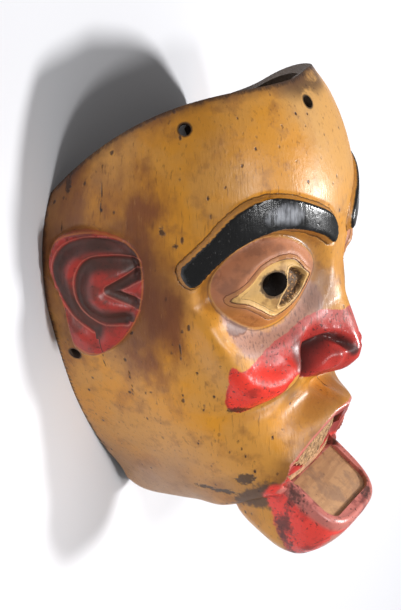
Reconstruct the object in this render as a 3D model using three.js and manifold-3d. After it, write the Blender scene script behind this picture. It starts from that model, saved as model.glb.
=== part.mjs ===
// A carved wooden folk mask, lying on its back rim with the face up.
// X is across the face, Y towards the crown, Z out of the face. The rim rests on z = 0. Millimetres.
// One closed shell: an outer carved skin, an inner hollow, and the rim between them.
import * as THREE from "three";
import { mergeVertices } from "three/addons/utils/BufferGeometryUtils.js";
import Module from "manifold-3d";

// Driving dimensions
const WALL = 9; // thickness of the wood over most of the shell
const RIM_WALL = 7; // thickness at the rim
const HEAD_RADIUS = 92; // turns the angle round the head into millimetres, see around()
const PUPIL = { u: 38.8, y: -2.9, radius: 5.2 };
const TEMPLE_HOLE = { u: 72.2, y: 62, radius: 2.5 };
const TEMPLE_DROP = 11; // the one on the left of the face sits lower, under the worn edge
const TEMPLE_AXIS = { x: 0.85, y: 0.34, z: 0.4 }; // its way out of the wood, on the side x > 0
const FOREHEAD_HOLE = { u: -8.5, y: 66, radius: 2.7 };
const NAPE_HOLE = { u: 133, y: -38.2, radius: 2.6 };
const BROW_HEIGHT = 2;
const SOCKET_DEPTH = 5;
const EYEBALL_HEIGHT = 5;
const CHEEKBONE_HEIGHT = 5.5;
const LID_STEP = 1.4; // from the lid down to the eye's almond
const EYE_SWELL = 1.2; // of the almond's middle
const EAR_HEIGHT = 6; // at the ear's back edge
const EAR_FRONT_HEIGHT = 1.5;
const EAR_GROOVES = { width: 3, helix: 4, inner: 4.5, notch: 3.5, notchWidth: 2.2 }; // widths and depths
const EDGE_FALL = { height: 16, start: 0.12 }; // how the top edge is worn down on its left side
const EDGE_PEAK = { height: 1.2, at: 0.06, width: 0.08 }; // its point, near the middle
const LENGTH_MIDDLE = -30; // middle of the mask from chin to peak, moved to y = 0 at the end
const EDGE = 2.2; // half the width of a carved edge, as crisp as these facets hold it
const ARCH_WIDTH = 1.9; // of the groove over a nose wing
const ARCH_DEPTH = 5;
const DRILL = { length: 44, sides: 20 }; // longer than the wall is thick
const FOLD_WIDTH = 3.2; // of the crease under the cheekbone and beside the nose
const FOLD_DEPTH = 3.6;
const LIP_ROLL = 1.6; // how far the upper lip rolls in towards the mouth
// Width of the slope that falls away from the lip, and what is added to it outwards.
const LIP_SPREAD = { middle: 5.5, side: 4, corner: -2.5 };
const MUZZLE_DIP = { depth: 8, y: -61, width: 9, halfWidth: 28 }; // between the nose and the lip
const CHIN_FILLET = 2.5; // swelling beside the lower lip, where the skin runs on to it

// Carved rows from the top edge down the face, under the chin and back to the rim. Each row is an
// arc from the rim point (rimX, rimY, rimZ) over the mid-plane point (midY, midZ) to the other side.
// power sets how boxy the arc is, and lift pushes its shoulders towards the crown.
const ROWS = [
  { midY: 75, midZ: 82, rimX: 66, rimY: 32, rimZ: 0, power: 0.96, lift: 12 },
  { midY: 64, midZ: 90, rimX: 70.3, rimY: 25.5, rimZ: 0, power: 0.95, lift: 9 },
  { midY: 48, midZ: 97, rimX: 73.3, rimY: 17, rimZ: 0, power: 0.94, lift: 6 },
  { midY: 30, midZ: 101.5, rimX: 74.5, rimY: 9, rimZ: 0, power: 0.94, lift: 3 },
  { midY: 10, midZ: 102, rimX: 74.3, rimY: -1, rimZ: 0, power: 0.94, lift: 1 },
  { midY: -12, midZ: 100, rimX: 72.3, rimY: -13, rimZ: 0, power: 0.92, lift: 0 },
  { midY: -34, midZ: 98, rimX: 67.5, rimY: -26, rimZ: 0, power: 0.86, lift: 0 },
  { midY: -56, midZ: 96.5, rimX: 60.5, rimY: -42, rimZ: 0, power: 0.76, lift: 0 },
  { midY: -77, midZ: 95, rimX: 51.5, rimY: -60, rimZ: 0, power: 0.64, lift: 0 },
  { midY: -97, midZ: 90, rimX: 42, rimY: -75, rimZ: 0, power: 0.54, lift: 0 },
  { midY: -113, midZ: 71, rimX: 33, rimY: -87.5, rimZ: 0.5, power: 0.56, lift: 0 },
  { midY: -120, midZ: 50, rimX: 25, rimY: -98, rimZ: 1.5, power: 0.66, lift: 0 },
  { midY: -123.5, midZ: 30, rimX: 19, rimY: -105, rimZ: 2.5, power: 0.8, lift: 0 },
  { midY: -124.5, midZ: 15, rimX: 15.5, rimY: -109.5, rimZ: 3.5, power: 0.9, lift: 0 },
  { midY: -121.5, midZ: 5, rimX: 13, rimY: -112, rimZ: 4, power: 1, lift: 0 },
];
const LAST_ROW = ROWS.length - 1;

const smooth = THREE.MathUtils.smoothstep; // smooth(x, from, to)
const clamp = THREE.MathUtils.clamp;
const bell = (x, width) => Math.exp(-(x * x) / (width * width));

// Catmull-Rom through the rows, with a straight run out at both ends.
function rowAt(v) {
  const i = Math.min(Math.floor(v), LAST_ROW - 1);
  const f = v - i;
  const row = {};
  for (const key of Object.keys(ROWS[0])) {
    const b = ROWS[i][key];
    const c = ROWS[i + 1][key];
    const a = i > 0 ? ROWS[i - 1][key] : 2 * b - c;
    const d = i < LAST_ROW - 1 ? ROWS[i + 2][key] : 2 * c - b;
    const m = (c - a) / 2;
    const n = (d - b) / 2;
    const f2 = f * f;
    const f3 = f2 * f;
    row[key] = (2 * f3 - 3 * f2 + 1) * b + (f3 - 2 * f2 + f) * m + (3 * f2 - 2 * f3) * c + (f3 - f2) * n;
  }
  return row;
}

// A point on a row's arc: s runs -1..1 from rim to rim.
function headPoint(row, s, v) {
  const angle = (Math.abs(s) * Math.PI) / 2;
  const side = Math.sign(s) * Math.sin(angle) ** row.power;
  const rise = Math.abs(s) >= 1 ? 0 : Math.cos(angle) ** row.power;
  const shoulders = row.lift * 4 * rise * (1 - rise);
  // The top edge is worn lower on the left of the face, and rises to a point in the middle.
  const top = 1 - smooth(v, 0, 2.5);
  const wornSide = EDGE_FALL.height * Math.max(s - EDGE_FALL.start, 0) * smooth(rise, 0, 0.5) * top;
  const peak = EDGE_PEAK.height * bell(s - EDGE_PEAK.at, EDGE_PEAK.width) * top;
  return new THREE.Vector3(
    row.rimX * side,
    row.rimY + (row.midY - row.rimY) * rise + shoulders - wornSide + peak,
    Math.max(row.rimZ, 0) + (row.midZ - Math.max(row.rimZ, 0)) * rise,
  );
}

// The plain head, before any carving; v runs down the rows.
const head = (s, v) => headPoint(rowAt(v), s, v);

// The outward direction of the plain head, from two short steps along it.
function headNormal(s, v) {
  const e = 0.002;
  const acrossStep = head(Math.min(s + e, 1), v).sub(head(Math.max(s - e, -1), v));
  const downStep = head(s, Math.min(v + e * 8, LAST_ROW)).sub(head(s, Math.max(v - e * 8, 0)));
  return downStep.cross(acrossStep).normalize();
}

// Distance round the head from the mid-plane, so that carving keeps its size on the sides.
const around = (p) => HEAD_RADIUS * Math.atan2(Math.abs(p.x), p.z);

// Signed distance from (u, y) to a closed outline of points, negative inside.
function outlineDistance(u, y, points) {
  let nearest = Infinity;
  let inside = false;
  for (let i = 0, j = points.length - 1; i < points.length; j = i++) {
    const a = points[j];
    const b = points[i];
    const du = b.x - a.x;
    const dy = b.y - a.y;
    const t = clamp(((u - a.x) * du + (y - a.y) * dy) / (du * du + dy * dy), 0, 1);
    nearest = Math.min(nearest, Math.hypot(u - a.x - du * t, y - a.y - dy * t));
    if (a.y > y !== b.y > y && u < ((b.x - a.x) * (y - a.y)) / (b.y - a.y) + a.x) inside = !inside;
  }
  return inside ? -nearest : nearest;
}

// Distance from (u, y) to an open line of points, and how far along it (0..1) the nearest point is.
function lineDistance(u, y, points) {
  let best = { distance: Infinity, along: 0 };
  for (let i = 0; i < points.length - 1; i++) {
    const a = points[i];
    const b = points[i + 1];
    const du = b.x - a.x;
    const dy = b.y - a.y;
    const t = clamp(((u - a.x) * du + (y - a.y) * dy) / (du * du + dy * dy), 0, 1);
    const distance = Math.hypot(u - a.x - du * t, y - a.y - dy * t);
    if (distance < best.distance) best = { distance, along: (i + t) / (points.length - 1) };
  }
  return best;
}

// A smooth line through pairs of numbers; a closed one doesn't repeat its first point.
function curve(pairs, closed, count) {
  const points = pairs.map(([x, y]) => new THREE.Vector3(x, y, 0));
  return new THREE.CatmullRomCurve3(points, closed).getPoints(count).slice(closed ? 1 : 0);
}

// Outlines on the head, as (distance round from the mid-plane, height) on one side; both sides match.
const BROW = curve(
  [[7, 12], [11, 21], [22, 28], [32, 32.3], [41, 34], [50, 32], [58, 27], [66, 18.5], [74, 10.5],
    [77.5, 6.5], [75.5, 0.5], [71.5, -1.5], [63, 7], [55, 14], [46, 18.5], [36, 20.2], [26, 18],
    [16, 13.2], [9, 8.5]],
  true, 60);
const EYEBALL = curve(
  [[15, -1], [22, 9], [32, 15], [42, 16], [53, 11.5], [60, 4], [62.5, -3], [60.5, -11], [53, -18],
    [42, -23], [30, -20.5], [20, -12]],
  true, 44);
const ALMOND = curve(
  [[56, -8.5], [49, -2], [43, 5], [36.5, 7.2], [30, 6], [25.5, 1], [21, -3.5], [23.5, -10.5], [30, -15],
    [36.5, -17.8], [44, -13.5], [50, -10]],
  true, 48);
const CHEEKBONE = curve(
  [[66, -8], [62.5, -18], [59, -28], [54, -37], [47, -45], [37, -48], [27, -44], [20, -34]], false, 30);
const CHEEK_FOLD = curve(
  [[14.5, -24], [16.5, -28.5], [19, -34], [21.4, -39.8], [24, -45.9], [27.3, -51.4], [32.5, -55.8],
    [40.5, -59], [50, -62], [56, -63.5]],
  false, 24);
const LIP_LINE = [[0, -66.5], [8, -67.5], [15, -71.5], [21, -76], [27, -81], [31, -85.5], [31.5, -97]]
  .map(([x, y]) => new THREE.Vector2(x, y));
const LIP_LIFT = [10.4, 8.5, 6.8, 5.5, 5.7, 6.9, 10.5]; // how far the lip stands out at each of those points
const LIP_Z = [106.5, 104.3, 101.7, 98.7, 95.8, 93.2, 88]; // and where it comes to
const EAR = curve(
  [[95, 12], [101, 18], [112, 21.5], [124, 21.5], [134, 17], [138.5, 8], [137, -2], [132.5, -10], [130, -20],
    [128.5, -28], [122, -32.5], [114, -33], [106, -29], [99.5, -22], [94.5, -12], [93, 2]],
  true, 52);
const HELIX_GROOVE = curve(
  [[95, 13], [107, 17.5], [121, 17], [131, 12], [134.5, 4], [131, -6], [125, -15], [117, -21]], false, 28);
const INNER_GROOVE = curve(
  [[96, 8.5], [108, 10], [119, 8], [123.5, 0], [122, -10], [114, -16.5], [101, -17]], false, 28);
const EAR_NOTCH = [[93, 4.5], [109, -3.2], [94, -9.5]].map(([x, y]) => new THREE.Vector2(x, y));

// Relief of one ear above the head.
function earRelief(u, y) {
  const edge = outlineDistance(u, y, EAR);
  if (edge > 4) return 0;
  const proud = EAR_HEIGHT * smooth(u, 88, 124) + EAR_FRONT_HEIGHT;
  const { width, helix, inner, notch, notchWidth } = EAR_GROOVES;
  let h = proud * smooth(-edge, -1.5, 2.5);
  const inEar = smooth(-edge, 0, 3);
  h -= helix * bell(lineDistance(u, y, HELIX_GROOVE).distance, width) * inEar;
  h -= inner * bell(lineDistance(u, y, INNER_GROOVE).distance, width) * inEar;
  h -= notch * bell(lineDistance(u, y, EAR_NOTCH).distance, notchWidth) * inEar;
  return h;
}

// Relief round one eye: brow, hollow socket, eyeball with lids, and the cheekbone under it.
function eyeRelief(u, y) {
  const brow = outlineDistance(u, y, BROW);
  const ball = outlineDistance(u, y, EYEBALL);
  const almond = outlineDistance(u, y, ALMOND);
  const bone = lineDistance(u, y, CHEEKBONE);
  let h = BROW_HEIGHT * smooth(-brow, -EDGE, EDGE);
  // The hollow lies round the eyeball and runs down to the cheekbone.
  const hollow = smooth(-ball, -11, -1) * smooth(brow, -1, 4);
  h -= SOCKET_DEPTH * hollow;
  h += EYEBALL_HEIGHT * smooth(-ball, -0.5, 9);
  h -= LID_STEP * smooth(-almond, -EDGE, EDGE);
  h += EYE_SWELL * smooth(-almond, 1.5, 8);
  const ends = smooth(bone.along, 0, 0.15) * (1 - smooth(bone.along, 0.85, 1));
  h += CHEEKBONE_HEIGHT * bell(bone.distance, 11 - 3 * smooth(ball, -3, 4)) * ends;
  return h;
}

// Height of the nose's ridge above the head, along Z: (distance down from y = 0, height).
const NOSE_PROFILE = [[-20, 0], [-8, -1.5], [4, -0.5], [18, 3.5], [26, 8], [33, 11.5], [40, 14], [45, 13.5],
  [50, 10.5], [53.5, 1], [57, 0]];
// The value at a place on pairs of (place, value), or another value past their ends.
function valueAlong(pairs, place, past) {
  for (let i = 0; i < pairs.length - 1; i++) {
    const [a, b] = [pairs[i], pairs[i + 1]];
    if (place >= a[0] && place <= b[0]) return a[1] + ((b[1] - a[1]) * (place - a[0])) / (b[0] - a[0]);
  }
  return past;
}

// Each side of the nose: a flare, and a wing over it under an arched groove, down to a straight edge.
const NOSE_FLARE = { x: 12, y: -34, halfWidth: 10, halfHeight: 13, height: 2.5 };
const NOSE_RIDGE = { halfWidth: 7, flare: 4 };
const NOSE_WING = { x: 14.5, y: -43, halfWidth: 10.5, halfHeight: 9, height: 5 };
const NOSE_ARCH = curve(
  [[24.4, -46.5], [22.7, -42.2], [20.2, -38.2], [17.2, -35.3], [14.1, -33.2], [10.8, -33.4],
    [6.5, -36.5], [3.5, -41]],
  false, 18);
const NOSE_BOTTOM = [[0, -51.5], [2.2, -51], [11.4, -50.9], [16.9, -49.9], [22.8, -47.5], [27, -43]];
function noseRelief(x, y) {
  const ax = Math.abs(x);
  const half = NOSE_RIDGE.halfWidth + NOSE_RIDGE.flare * smooth(-y, 0, 40);
  const ridge = valueAlong(NOSE_PROFILE, -y, 0) * Math.exp(-((ax / half) ** 2.2));
  const above = smooth(y - valueAlong(NOSE_BOTTOM, ax, -43), -2.5, 1);
  let raised = 0;
  for (const ball of [NOSE_FLARE, NOSE_WING]) {
    const out = Math.hypot((ax - ball.x) / ball.halfWidth, (y - ball.y) / ball.halfHeight);
    raised += ball.height * smooth(1 - out, 0, 0.75);
  }
  const arch = lineDistance(ax, y, NOSE_ARCH);
  const groove = ARCH_DEPTH * bell(arch.distance, ARCH_WIDTH) * (1 - smooth(arch.along, 0.85, 1));
  return ridge + (raised * smooth(ax, 3, 13) - groove) * above;
}

// The upper lip's edge, raised along Z: it falls away to the cheeks, and rolls in towards the mouth.
function muzzleRelief(x, y, z) {
  const ax = Math.abs(x);
  const line = lineDistance(ax, y, LIP_LINE);
  const corner = LIP_LINE[LIP_LINE.length - 1];
  const lipY = valueAlong(LIP_LINE.slice(0, -1).map((p) => [p.x, p.y]), ax, LIP_LINE.at(-2).y);
  if (ax < corner.x && y < lipY && y > corner.y)
    return alongLip(LIP_Z, line.along) - LIP_ROLL * smooth(line.distance, 0.5, 5) - z;
  const width =
    LIP_SPREAD.middle + LIP_SPREAD.side * smooth(ax, 3, 14) + LIP_SPREAD.corner * smooth(ax, 21, 31);
  const dip = MUZZLE_DIP.depth * bell(y - MUZZLE_DIP.y, MUZZLE_DIP.width) * bell(x, MUZZLE_DIP.halfWidth);
  return alongLip(LIP_LIFT, line.along) * bell(line.distance, width) - dip * smooth(line.distance, 0, 9);
}
function alongLip(values, along) {
  const place = along * (values.length - 1);
  const i = Math.min(Math.floor(place), values.length - 2);
  return values[i] + (values[i + 1] - values[i]) * (place - i);
}

// The lower lip and jaw: a scoop that leans forward and down from the corners of the mouth.
const JAW = {
  corner: new THREE.Vector3(0, -97, 88.5),
  forward: new THREE.Vector3(0, -0.627, 0.779),
  up: new THREE.Vector3(0, 0.779, 0.627),
  halfWidth: 28.3,
  frontNarrowing: 0.03,
  taperFrom: 5,
  back: -20,
  front: 33,
  underDrop: 0.05,
  squareness: 0.56,
};
// Turned section of the scoop before it is stretched: (part of the way out, height from the lip plane).
const JAW_SECTION = [[0, 1.4], [0.4, 1.4], [0.78, 1.4], [0.88, 1.9], [0.94, 1.2], [0.98, -1.5], [1, -8],
  [0.97, -15], [0.9, -22], [0.76, -28.5], [0.5, -32], [0, -33]];
// The mouth: a rough recess under the upper lip, and a smooth floor let into the lower one.
const MOUTH_TOP = [[0, -69.5], [8, -70.5], [14, -74], [19.5, -79], [23.5, -84], [25, -90]];
const MOUTH_BOTTOM = { x: 24.5, y: -98.7 };
const MOUTH_BACK = { y: -98.5, z: 89.3, slope: 0.25, fall: 0.003, height: 40 };
const MOUTH_FLOOR = { halfWidth: 22.4, back: 1.2, front: 26.2, corner: 7, height: -0.8, top: 6 };

// The carved outer skin.
function skin(s, v) {
  const p = head(s, v);
  const u = around(p);
  const face = smooth(p.z, 45, 70);
  const outward = eyeRelief(u, p.y) * smooth(p.z, 30, 50) + earRelief(u, p.y);
  const forward = (noseRelief(p.x, p.y) + muzzleRelief(p.x, p.y, p.z)) * face;
  const fold = lineDistance(u, p.y, CHEEK_FOLD);
  const fading = smooth(fold.along, 0, 0.3) * (1 - 0.6 * smooth(fold.along, 0.55, 1));
  const belowFold = -FOLD_DEPTH * bell(fold.distance, FOLD_WIDTH) * fading * smooth(p.z, 45, 60);
  const rimFade = smooth(1 - Math.abs(s), 0, 0.03);
  p.addScaledVector(headNormal(s, v), (outward + belowFold) * rimFade);
  p.z += forward;
  return p.addScaledVector(headNormal(s, v), fillet(p));
}

// How far the skin swells out where it runs on to the lower lip.
function fillet(p) {
  const fromCorner = p.clone().sub(JAW.corner);
  const run = fromCorner.dot(JAW.forward);
  const height = fromCorner.dot(JAW.up);
  const middle = (JAW.front + JAW.back) / 2;
  const half = (JAW.front - JAW.back) / 2;
  const along = Math.abs(run - middle) / half;
  const taper = 1 - JAW.frontNarrowing * smooth(run, JAW.taperFrom, JAW.front);
  const across = Math.abs(p.x) / (JAW.halfWidth * taper);
  const power = 2 / JAW.squareness;
  const share = (along ** power + across ** power) ** (1 / power);
  const beside = bell(share - 1, 0.2) * smooth(-height, -2, 3) * smooth(run, -24, -12);
  return CHIN_FILLET * beside * smooth(-p.y, 84, 92);
}

// The hollow behind the face: each row drawn in by the wall, square to the rim line and to the
// mid-plane line, so that it stays open down into the chin.
function hollow(s, v) {
  const row = rowAt(v);
  const before = rowAt(Math.max(v - 0.05, 0));
  const after = rowAt(Math.min(v + 0.05, LAST_ROW));
  const rimRun = new THREE.Vector2(after.rimX - before.rimX, after.rimY - before.rimY).normalize();
  const midRun = new THREE.Vector2(after.midY - before.midY, after.midZ - before.midZ).normalize();
  const wall = RIM_WALL + (WALL - RIM_WALL) * smooth(Math.min(v, (LAST_ROW - v) / 2), 0, 1);
  row.rimX += RIM_WALL * rimRun.y;
  row.rimY -= RIM_WALL * rimRun.x;
  row.midY -= wall * midRun.y;
  row.midZ += wall * midRun.x;
  return headPoint(row, s, v);
}

// Grid lines: more of them where the eye, ear, nose and mouth are carved.
const COLUMN_STOPS = [[0, 0], [0.17, 5], [0.43, 9], [0.64, 3], [0.95, 10], [1, 1]];
const ROW_STOPS = [[0, 0], [2, 4], [6, 21], [8.5, 13], [LAST_ROW, 12]];
function stopsToLines(stops) {
  const lines = [stops[0][0]];
  for (let i = 1; i < stops.length; i++)
    for (let k = 1; k <= stops[i][1]; k++)
      lines.push(stops[i - 1][0] + ((stops[i][0] - stops[i - 1][0]) * k) / stops[i][1]);
  return lines;
}
const halfColumns = stopsToLines(COLUMN_STOPS);
const columns = [...halfColumns.slice(1).reverse().map((s) => -s), ...halfColumns];
const rows = stopsToLines(ROW_STOPS);
const everySecond = (lines) => lines.filter((_, i) => i % 2 === 0);

// A sheet of the given grid lines, each corner placed by surface(s, v), facing out of the head.
function sheet(across, down, surface) {
  const geometry = new THREE.PlaneGeometry(1, 1, across.length - 1, down.length - 1);
  geometry.deleteAttribute("normal");
  geometry.deleteAttribute("uv");
  const position = geometry.attributes.position;
  down.forEach((v, j) =>
    across.forEach((s, i) => {
      const p = surface(s, v, i, j);
      position.setXYZ(j * across.length + i, p.x, p.y, p.z);
    }),
  );
  return geometry;
}

// Indices round the border of a sheet, starting at the top left and running along the top edge.
function border(across, down) {
  const w = across.length;
  const h = down.length;
  const loop = [];
  for (let i = 0; i < w - 1; i++) loop.push(i);
  for (let j = 0; j < h - 1; j++) loop.push(j * w + w - 1);
  for (let i = w - 1; i > 0; i--) loop.push((h - 1) * w + i);
  for (let j = h - 1; j > 0; j--) loop.push(j * w);
  return loop;
}

// A closed geometry from points and triangles.
function geometryFrom(points, triangles) {
  const geometry = new THREE.BufferGeometry();
  geometry.setAttribute("position", new THREE.Float32BufferAttribute(points, 3));
  geometry.setIndex(triangles);
  return geometry;
}
const turned = (triangles) => {
  const out = [];
  for (let i = 0; i < triangles.length; i += 3) out.push(triangles[i], triangles[i + 2], triangles[i + 1]);
  return out;
};

// The skin as these facets can hold it: each corner takes the mean over its share of the sheet.
function facetedSkin(s, v, i, j) {
  const half = (lines, k, step) => Math.abs((lines[k + step] ?? lines[k]) - lines[k]) / 2;
  const mean = new THREE.Vector3();
  const spots = [-0.8, -0.4, 0, 0.4, 0.8];
  for (const a of spots)
    for (const b of spots) {
      const ds = a * (i === 0 || i === columns.length - 1 ? 0 : half(columns, i, Math.sign(a)));
      const dv = b * (j === 0 || j === rows.length - 1 ? 0 : half(rows, j, Math.sign(b)));
      mean.add(skin(s + ds, v + dv));
    }
  return mean.divideScalar(spots.length ** 2);
}

const outer = sheet(columns, rows, facetedSkin);
const innerColumns = everySecond(columns);
const innerRows = everySecond(rows);
const inner = sheet(innerColumns, innerRows, hollow);

// The shell: outer sheet, inner sheet turned round, and the rim joining one inner edge to two outer ones.
function makeShell() {
  const points = [...outer.attributes.position.array, ...inner.attributes.position.array];
  const offset = outer.attributes.position.count;
  const triangles = [...outer.index.array];
  for (const k of turned([...inner.index.array])) triangles.push(k + offset);
  const outside = border(columns, rows);
  const inside = border(innerColumns, innerRows).map((k) => k + offset);
  for (let i = 0; i < inside.length; i++) {
    const a = outside[2 * i];
    const b = outside[2 * i + 1];
    const c = outside[(2 * i + 2) % outside.length];
    const p = inside[i];
    const q = inside[(i + 1) % inside.length];
    triangles.push(a, b, p, b, q, p, b, c, q);
  }
  return geometryFrom(points, triangles);
}

const ROOM_BACK = [0, -30, -12]; // a point behind the rim
// The room inside the head as a solid, closed across the back, to trim what is let into the wall.
function makeRoom() {
  const points = [...inner.attributes.position.array, ...ROOM_BACK];
  const centre = points.length / 3 - 1;
  const triangles = [...inner.index.array];
  const loop = border(innerColumns, innerRows);
  loop.forEach((k, i) => triangles.push(k, loop[(i + 1) % loop.length], centre));
  return geometryFrom(points, triangles);
}

// The lower lip, turned from its section and stretched to its rounded outline.
function makeJaw() {
  const section = JAW_SECTION.map(([r, h]) => new THREE.Vector2(r, h));
  const geometry = new THREE.LatheGeometry(section.reverse(), 32);
  geometry.deleteAttribute("normal");
  geometry.deleteAttribute("uv");
  const position = geometry.attributes.position;
  const middle = (JAW.front + JAW.back) / 2;
  const half = (JAW.front - JAW.back) / 2;
  for (let i = 0; i < position.count; i++) {
    const r = Math.hypot(position.getX(i), position.getZ(i));
    const angle = Math.atan2(position.getX(i), position.getZ(i));
    const squared = (c) => Math.sign(c) * Math.abs(c) ** JAW.squareness;
    const run = middle + half * r * squared(Math.cos(angle));
    const narrowing = 1 - JAW.frontNarrowing * smooth(run, JAW.taperFrom, JAW.front);
    const side = JAW.halfWidth * narrowing * r * squared(Math.sin(angle));
    const height = position.getY(i);
    const drop = JAW.underDrop * (JAW.front - run) * smooth(-height, 6, 28);
    const p = JAW.corner.clone().addScaledVector(JAW.forward, run).addScaledVector(JAW.up, height - drop);
    position.setXYZ(i, p.x + side, p.y, p.z);
  }
  return geometry;
}

// What is cut out between the lips: a sheet for the back wall, and the same sheet raised out of the face.
function makeRecess() {
  const widest = MOUTH_TOP.at(-1)[0];
  const across = Array.from({ length: 17 }, (_, i) => -1 + i / 8);
  const down = Array.from({ length: 9 }, (_, i) => 1 - i / 8);
  const wall = sheet(across, down, (side, share) => {
    let x = side * widest;
    const highest = valueAlong(MOUTH_TOP, Math.abs(x), MOUTH_TOP.at(-1)[1]);
    const y = MOUTH_BOTTOM.y + (highest - MOUTH_BOTTOM.y) * share;
    const [, sideEnd] = MOUTH_TOP.at(-1);
    x *= y > sideEnd ? 1 : 1 + ((MOUTH_BOTTOM.x / widest - 1) * (sideEnd - y)) / (sideEnd - MOUTH_BOTTOM.y);
    const z = MOUTH_BACK.z + MOUTH_BACK.slope * (y - MOUTH_BACK.y) - MOUTH_BACK.fall * x * x;
    return new THREE.Vector3(x, y, z);
  });
  return raisedSolid([...wall.attributes.position.array], [...wall.index.array], border(across, down),
    new THREE.Vector3(0, 0, MOUTH_BACK.height));
}

// A rounded plate as deep as the lower lip is hollowed.
function makeMouthFloor() {
  const { halfWidth, back, front, corner, height, top } = MOUTH_FLOOR;
  const outline = [[back, -halfWidth]];
  for (const side of [-1, 1])
    for (let i = 0; i <= 5; i++) {
      const turn = ((side < 0 ? i : 5 - i) / 5) * (Math.PI / 2);
      const run = front - corner * (1 - Math.sin(turn));
      outline.push([run, side * (halfWidth - corner * (1 - Math.cos(turn)))]);
    }
  outline.push([back, halfWidth]);
  const flat = THREE.ShapeUtils.triangulateShape(outline.map(([a, b]) => new THREE.Vector2(b, a)), []).flat();
  const points = outline.flatMap(([run, side]) => {
    const p = JAW.corner.clone().addScaledVector(JAW.forward, run).addScaledVector(JAW.up, height);
    return [p.x + side, p.y, p.z];
  });
  const loop = outline.map((_, i) => outline.length - 1 - i);
  return raisedSolid(points, turned(flat), loop, JAW.up.clone().multiplyScalar(top - height));
}

// A solid between a sheet of triangles and the same sheet moved by a step; loop runs round its border.
function raisedSolid(points, triangles, loop, step) {
  const count = points.length / 3;
  const moved = points.map((c, i) => c + step.getComponent(i % 3));
  const faces = [...turned(triangles), ...triangles.map((k) => k + count)];
  loop.forEach((a, i) => {
    const b = loop[(i + 1) % loop.length];
    faces.push(b, a, a + count, b, a + count, b + count);
  });
  return geometryFrom([...points, ...moved], faces);
}

// The place on the plain head at a distance round from the mid-plane and a height, and its direction out.
function placeOnHead(u, y) {
  let best = { miss: Infinity };
  const side = Math.sign(u) || 1;
  const look = (s0, s1, v0, v1) => {
    for (let i = 0; i <= 40; i++)
      for (let j = 0; j <= 40; j++) {
        const s = s0 + ((s1 - s0) * i) / 40;
        const v = clamp(v0 + ((v1 - v0) * j) / 40, 0, LAST_ROW);
        const p = head(s, v);
        const miss = Math.hypot(around(p) - Math.abs(u), p.y - y);
        if (miss < best.miss) best = { miss, s, v, p };
      }
  };
  look(side * 0.001, side * 0.999, 0, LAST_ROW);
  look(best.s - 0.03, best.s + 0.03, best.v - 0.4, best.v + 0.4);
  return { point: best.p, out: headNormal(best.s, best.v) };
}

// A drill along the direction out of the wood, or another axis.
function makeDrill(u, y, radius, axis) {
  const { point, out } = placeOnHead(u, y);
  const geometry = new THREE.CylinderGeometry(radius, radius, DRILL.length, DRILL.sides);
  const upright = new THREE.Vector3(0, 1, 0);
  geometry.applyQuaternion(new THREE.Quaternion().setFromUnitVectors(upright, axis ?? out));
  geometry.translate(point.x, point.y, point.z);
  return geometry;
}

const wasm = await Module();
wasm.setup();

// A closed geometry as a solid to join and cut, and back again.
function toSolid(geometry) {
  const bare = geometry.clone();
  bare.deleteAttribute("normal");
  bare.deleteAttribute("uv");
  const merged = mergeVertices(bare, 1e-3);
  return new wasm.Manifold(new wasm.Mesh({
    numProp: 3,
    vertProperties: new Float32Array(merged.attributes.position.array),
    triVerts: new Uint32Array(merged.index.array),
  }));
}
function toGeometry(solid) {
  const mesh = solid.getMesh();
  return geometryFrom([...mesh.vertProperties], [...mesh.triVerts]);
}

let solid = toSolid(makeShell());
solid = solid.add(toSolid(makeJaw()).subtract(toSolid(makeRoom())));
solid = solid.subtract(toSolid(makeRecess())).subtract(toSolid(makeMouthFloor()));
for (const side of [-1, 1]) {
  const ahead = placeOnHead(side * PUPIL.u, PUPIL.y).out.lerp(new THREE.Vector3(0, 0, 1), 0.5).normalize();
  solid = solid.subtract(toSolid(makeDrill(side * PUPIL.u, PUPIL.y, PUPIL.radius, ahead)));
  const templeY = TEMPLE_HOLE.y - (side > 0 ? TEMPLE_DROP : 0);
  const sideways = new THREE.Vector3(side * TEMPLE_AXIS.x, TEMPLE_AXIS.y, TEMPLE_AXIS.z).normalize();
  solid = solid.subtract(toSolid(makeDrill(side * TEMPLE_HOLE.u, templeY, TEMPLE_HOLE.radius, sideways)));
  solid = solid.subtract(toSolid(makeDrill(side * NAPE_HOLE.u, NAPE_HOLE.y, NAPE_HOLE.radius)));
}
solid = solid.subtract(toSolid(makeDrill(FOREHEAD_HOLE.u, FOREHEAD_HOLE.y, FOREHEAD_HOLE.radius)));

const paintedWood = new THREE.MeshStandardMaterial({ color: 0xc0893f, roughness: 0.45, metalness: 0 });
const mask = new THREE.Mesh(toGeometry(solid), paintedWood);
mask.name = "mask";
mask.position.y = -LENGTH_MIDDLE;

const root = new THREE.Group();
root.add(mask);
export default root;
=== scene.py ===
"""A carved and painted wooden face mask, lying on its back rim with the face up.

The mask's own measures are in millimetres: X across the face, Y towards the crown, Z out of the
face, with the rim on z = 0. Its shape is worked out by the same functions as the solid's, on a
finer sheet, and the paint follows signed distances to named outlines on the head.
"""
import math

import bmesh
import bpy
import numpy as np
from mathutils import Matrix, Vector
from mathutils.kdtree import KDTree


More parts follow.
